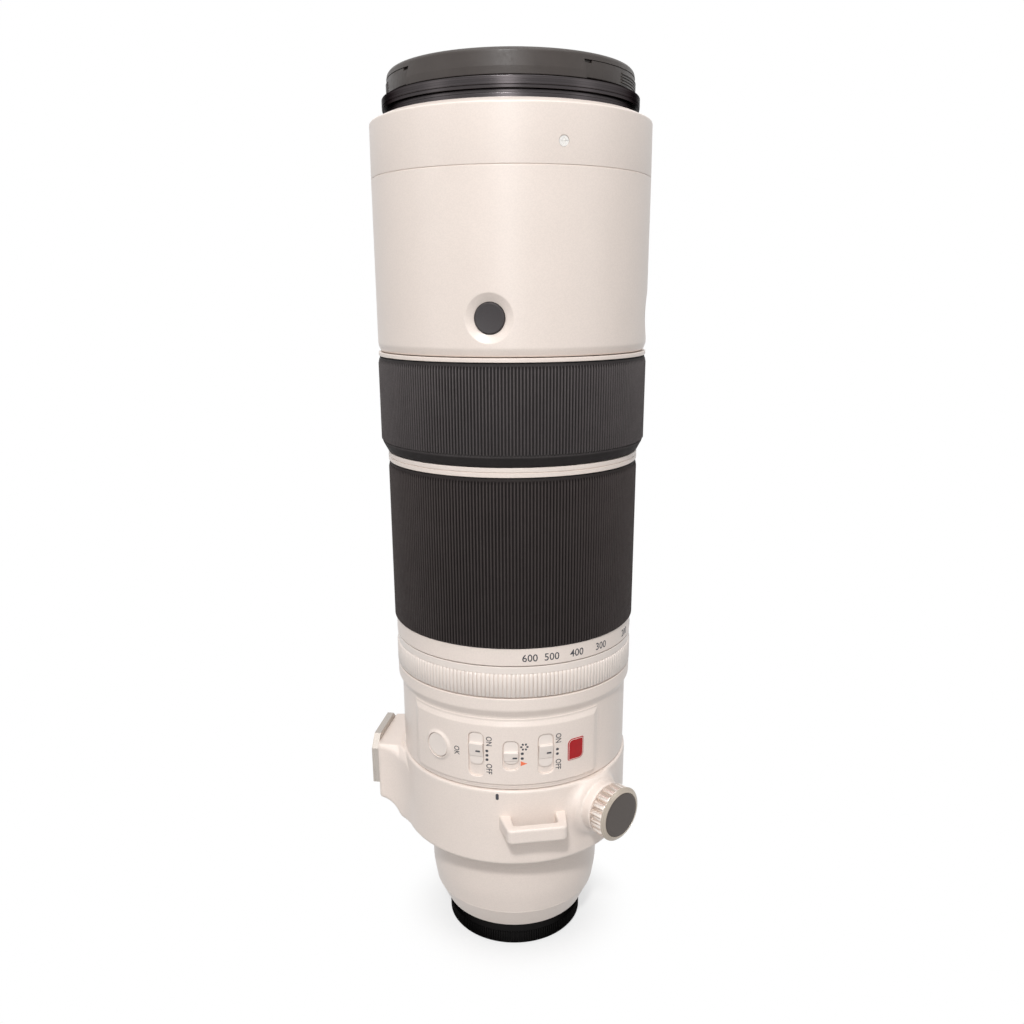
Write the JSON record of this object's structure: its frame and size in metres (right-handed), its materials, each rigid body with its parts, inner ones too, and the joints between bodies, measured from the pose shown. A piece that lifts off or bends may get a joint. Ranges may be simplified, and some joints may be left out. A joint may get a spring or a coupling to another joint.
{
  "type": "super telephoto lens",
  "caption": "Long white telephoto zoom lens standing on its rear cap, with ribbed zoom and focus rings, a switch panel, a rotating tripod collar with foot and lock knob, and a pinch front cap.",
  "frame": {"origin": "centre of the rear cap's flat base, on the optical axis", "axes": "+Z along the optical axis towards the front cap; the switch panel faces -Y, the tripod foot points to -X"},
  "size_m": [0.1095, 0.112, 0.335],
  "materials": {
    "pearl_white": "satin",
    "white_plastic": "satin",
    "cap_black": "matt",
    "black_metal": "matt",
    "grip_rubber": "matt",
    "mount_metal": "satin",
    "plate_metal": "brushed",
    "screw_metal": "satin",
    "knob_metal": "satin",
    "knob_face": "satin",
    "glass": "clear",
    "board": "satin",
    "badge_red": "gloss",
    "blade_metal": "matt"
  },
  "bodies": {
    "barrel": {"rear_cover": "pearl_white", "mount_plate": "mount_metal", "mount_screws": "screw_metal", "contact_block": "cap_black", "circuit_board": "board", "rear_lens_cell": "black_metal", "rear_elements": "glass", "rear_barrel": "pearl_white", "collar_slide_rings": "white_plastic", "collar_retainer": "plate_metal", "control_panel": "pearl_white", "panel_badge": "badge_red", "main_tube": "black_metal", "guide_tube": "black_metal", "focus_rods": "screw_metal", "focus_motor": "black_metal", "stabiliser_base": "cap_black", "iris_housing": "cap_black", "iris_blades": "blade_metal", "middle_trim_ring": "pearl_white", "front_trim_ring": "pearl_white", "front_barrel": "pearl_white", "front_ring": "pearl_white", "front_ring_screws": "screw_metal", "filter_ring": "black_metal", "front_cell": "black_metal", "front_element": "glass", "second_element": "glass"},
    "rear_cap": {"rear_cap": "cap_black"},
    "collar": {"tripod_collar": "pearl_white", "strap_lugs": "pearl_white", "foot_plate": "plate_metal", "foot_screws": "screw_metal"},
    "pad": {"brake_pad": "cap_black"},
    "knob": {"lock_knob": "knob_metal", "knob_face": "knob_face"},
    "aperture": {"aperture_ring": "pearl_white"},
    "zoom": {"zoom_ring": "pearl_white", "zoom_grip": "grip_rubber", "cam_barrel": "black_metal"},
    "focus": {"focus_ring": "cap_black", "focus_grip": "grip_rubber"},
    "zoom_group": {"zoom_cell": "black_metal", "zoom_lens": "glass"},
    "focus_group": {"focus_cell": "cap_black", "focus_lens": "glass"},
    "shake_guide": {"stabiliser_guide": "screw_metal"},
    "shake_cell": {"stabiliser_cell": "cap_black", "stabiliser_lens": "glass"},
    "set_button": {"set_button": "white_plastic"},
    "mode_switch": {"focus_mode_switch": "white_plastic"},
    "preset": {"preset_switch": "white_plastic"},
    "range": {"range_switch": "white_plastic"},
    "hold_side": {"hold_button_side": "grip_rubber"},
    "hold_top": {"hold_button_top": "grip_rubber"},
    "hold_back": {"hold_button_back": "grip_rubber"},
    "hold_foot": {"hold_button_foot": "grip_rubber"},
    "front_cap": {"front_cap": "cap_black"},
    "lever_top": {"cap_lever_top": "cap_black"},
    "lever_foot": {"cap_lever_foot": "cap_black"}
  },
  "joints": [
    {"name": "rear_cap_twist", "type": "hinge", "parent": "barrel", "child": "rear_cap", "pos_m": [0, 0, 0], "axis": [0, 0, 1], "range_deg": [0, 60]},
    {"name": "collar_turn", "type": "hinge", "parent": "barrel", "child": "collar", "pos_m": [0, 0, 0.0666], "axis": [0, 0, 1], "continuous": true},
    {"name": "lock_draw", "type": "slide", "parent": "collar", "child": "pad", "axis": [0.682, -0.7314, 0], "range_m": [0, 0.0005]},
    {"name": "lock_turn", "type": "hinge", "parent": "pad", "child": "knob", "pos_m": [0.03751, -0.04022, 0.0708], "axis": [0.682, -0.7314, 0], "range_deg": [0, 180]},
    {"name": "aperture_turn", "type": "hinge", "parent": "barrel", "child": "aperture", "pos_m": [0, 0, 0.1271], "axis": [0, 0, 1], "continuous": true},
    {"name": "zoom_turn", "type": "hinge", "parent": "barrel", "child": "zoom", "pos_m": [0, 0, 0.168], "axis": [0, 0, 1], "range_deg": [0, 74]},
    {"name": "zoom_slide", "type": "slide", "parent": "barrel", "child": "zoom_group", "axis": [0, 0, 1], "range_m": [-0.045, 0]},
    {"name": "focus_turn", "type": "hinge", "parent": "barrel", "child": "focus", "pos_m": [0, 0, 0.2235], "axis": [0, 0, 1], "continuous": true},
    {"name": "focus_slide", "type": "slide", "parent": "barrel", "child": "focus_group", "axis": [0, 0, 1], "range_m": [-0.03, 0]},
    {"name": "shake_x", "type": "slide", "parent": "barrel", "child": "shake_guide", "axis": [1, 0, 0], "range_m": [-0.001, 0.001], "stiffness_N_per_m": 400},
    {"name": "shake_y", "type": "slide", "parent": "shake_guide", "child": "shake_cell", "axis": [0, 1, 0], "range_m": [-0.001, 0.001], "stiffness_N_per_m": 400},
    {"name": "set_press", "type": "slide", "parent": "barrel", "child": "set_button", "axis": [0.6239, 0.7815, 0], "range_m": [0, 0.0005], "stiffness_N_per_m": 500},
    {"name": "mode_shift", "type": "slide", "parent": "barrel", "child": "mode_switch", "axis": [0, 0, -1], "range_m": [0, 0.0048]},
    {"name": "preset_shift", "type": "slide", "parent": "barrel", "child": "preset", "axis": [0, 0, -1], "range_m": [0, 0.0024]},
    {"name": "range_shift", "type": "slide", "parent": "barrel", "child": "range", "axis": [0, 0, -1], "range_m": [0, 0.0028]},
    {"name": "hold_press_side", "type": "slide", "parent": "barrel", "child": "hold_side", "axis": [0.1495, 0.9888, 0], "range_m": [0, 0.0006], "stiffness_N_per_m": 500},
    {"name": "hold_press_top", "type": "slide", "parent": "barrel", "child": "hold_top", "axis": [-0.9888, 0.1495, 0], "range_m": [0, 0.0006], "stiffness_N_per_m": 500},
    {"name": "hold_press_back", "type": "slide", "parent": "barrel", "child": "hold_back", "axis": [-0.1495, -0.9888, 0], "range_m": [0, 0.0006], "stiffness_N_per_m": 500},
    {"name": "hold_press_foot", "type": "slide", "parent": "barrel", "child": "hold_foot", "axis": [0.9888, -0.1495, 0], "range_m": [0, 0.0006], "stiffness_N_per_m": 500},
    {"name": "front_cap_pull", "type": "slide", "parent": "barrel", "child": "front_cap", "axis": [0, 0, 1], "range_m": [0, 0.08]},
    {"name": "lever_pinch_top", "type": "slide", "parent": "front_cap", "child": "lever_top", "axis": [-0.9888, 0.1495, 0], "range_m": [0, 0.002], "stiffness_N_per_m": 900},
    {"name": "lever_pinch_foot", "type": "slide", "parent": "front_cap", "child": "lever_foot", "axis": [0.9888, -0.1495, 0], "range_m": [0, 0.002], "stiffness_N_per_m": 900}
  ],
  "couplings": [
    {"joint": "zoom_slide", "follows": "zoom_turn", "m_per_rad": -0.034842},
    {"joint": "lock_turn", "follows": "lock_draw", "rad_per_m": 6283.2}
  ]
}
